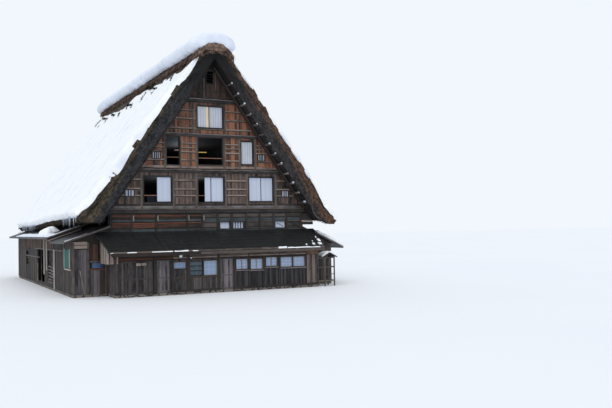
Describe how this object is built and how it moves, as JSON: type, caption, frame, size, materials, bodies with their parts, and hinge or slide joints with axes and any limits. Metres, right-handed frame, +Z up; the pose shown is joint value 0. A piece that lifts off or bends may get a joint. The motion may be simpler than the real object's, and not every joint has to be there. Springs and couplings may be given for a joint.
{
  "type": "minka farmhouse",
  "caption": "Steep thatched farmhouse under snow: boarded gable with paper screens, low dark-roofed front rooms, side aisles and sliding doors.",
  "frame": {"origin": "on the ground under the middle of the house", "axes": "+X to the right of the front gable, +Y along the ridge from the front gable to the back, +Z up"},
  "size_m": [17.8, 27.74, 15.5],
  "materials": {
    "weathered_boards": "grey weathered boards, rough",
    "brown_boards": "red-brown weathered boards, rough",
    "dark_timber": "smoke-dark timber, rough",
    "door_boards": "boarded door, weathered",
    "thatch": "packed reed thatch, dark and frayed",
    "ridge_thatch": "warm brown reed thatch, frayed",
    "snow": "settled snow, soft and matt",
    "paper_screen": "white paper on thin wooden bars",
    "window_glass": "old window glass, bluish",
    "sheet_roof": "dark painted sheet roof, satin",
    "footing": "rough footing stones"
  },
  "bodies": {
    "house": {"ground_floor": "footing", "front_wall_left": "weathered_boards", "front_wall_door_post": "dark_timber", "front_wall_centre": "weathered_boards", "front_wall_right": "weathered_boards", "front_wall_header": "brown_boards", "panes_front_centre": "window_glass", "panes_front_right": "window_glass", "panes_front_mezzanine": "paper_screen", "front_low_roof": "sheet_roof", "back_low_roof": "sheet_roof", "left_end_screen": "weathered_boards", "front_frame": "brown_boards", "back_frame": "brown_boards", "back_wall": "weathered_boards", "panes_back": "window_glass", "left_side_frame": "dark_timber", "right_side_frame": "dark_timber", "left_aisle_roof_front": "sheet_roof", "left_aisle_roof_rear": "sheet_roof", "right_aisle_roof": "sheet_roof", "left_aisle_wall": "weathered_boards", "right_aisle_wall": "weathered_boards", "left_aisle_screens": "paper_screen", "right_aisle_screens": "paper_screen", "front_gable_1": "weathered_boards", "front_gable_2": "brown_boards", "front_gable_3": "brown_boards", "front_gable_4": "brown_boards", "back_gable": "brown_boards", "front_screens_1": "paper_screen", "front_screens_2": "paper_screen", "front_screens_3": "paper_screen", "back_screens_1": "paper_screen", "back_screens_2": "paper_screen", "back_screens_3": "paper_screen", "attic_floor_1": "dark_timber", "attic_floor_2": "dark_timber", "attic_floor_3": "dark_timber", "attic_floor_4": "dark_timber", "front_verge_left": "dark_timber", "front_verge_right": "dark_timber", "back_verge_left": "dark_timber", "back_verge_right": "dark_timber", "thatch_left": "thatch", "thatch_right": "thatch", "ridge_thatch": "ridge_thatch", "roof_snow_left": "snow", "roof_snow_right": "snow", "ridge_snow": "snow", "side_porch_frame": "dark_timber"},
    "door_pair_left": {"door_pair_left": "door_boards"},
    "door_pair_right": {"door_pair_right": "door_boards"},
    "door_side": {"door_side": "door_boards"},
    "door_centre": {"door_centre": "door_boards"}
  },
  "joints": [
    {"name": "pair_left_slide", "type": "slide", "parent": "house", "child": "door_pair_left", "axis": [1, 0, 0], "range_m": [0, 0.87]},
    {"name": "pair_right_slide", "type": "slide", "parent": "house", "child": "door_pair_right", "axis": [1, 0, 0], "range_m": [-0.87, 0]},
    {"name": "side_door_slide", "type": "slide", "parent": "house", "child": "door_side", "axis": [1, 0, 0], "range_m": [0, 0.8]},
    {"name": "centre_door_slide", "type": "slide", "parent": "house", "child": "door_centre", "axis": [1, 0, 0], "range_m": [0, 0.8]}
  ]
}
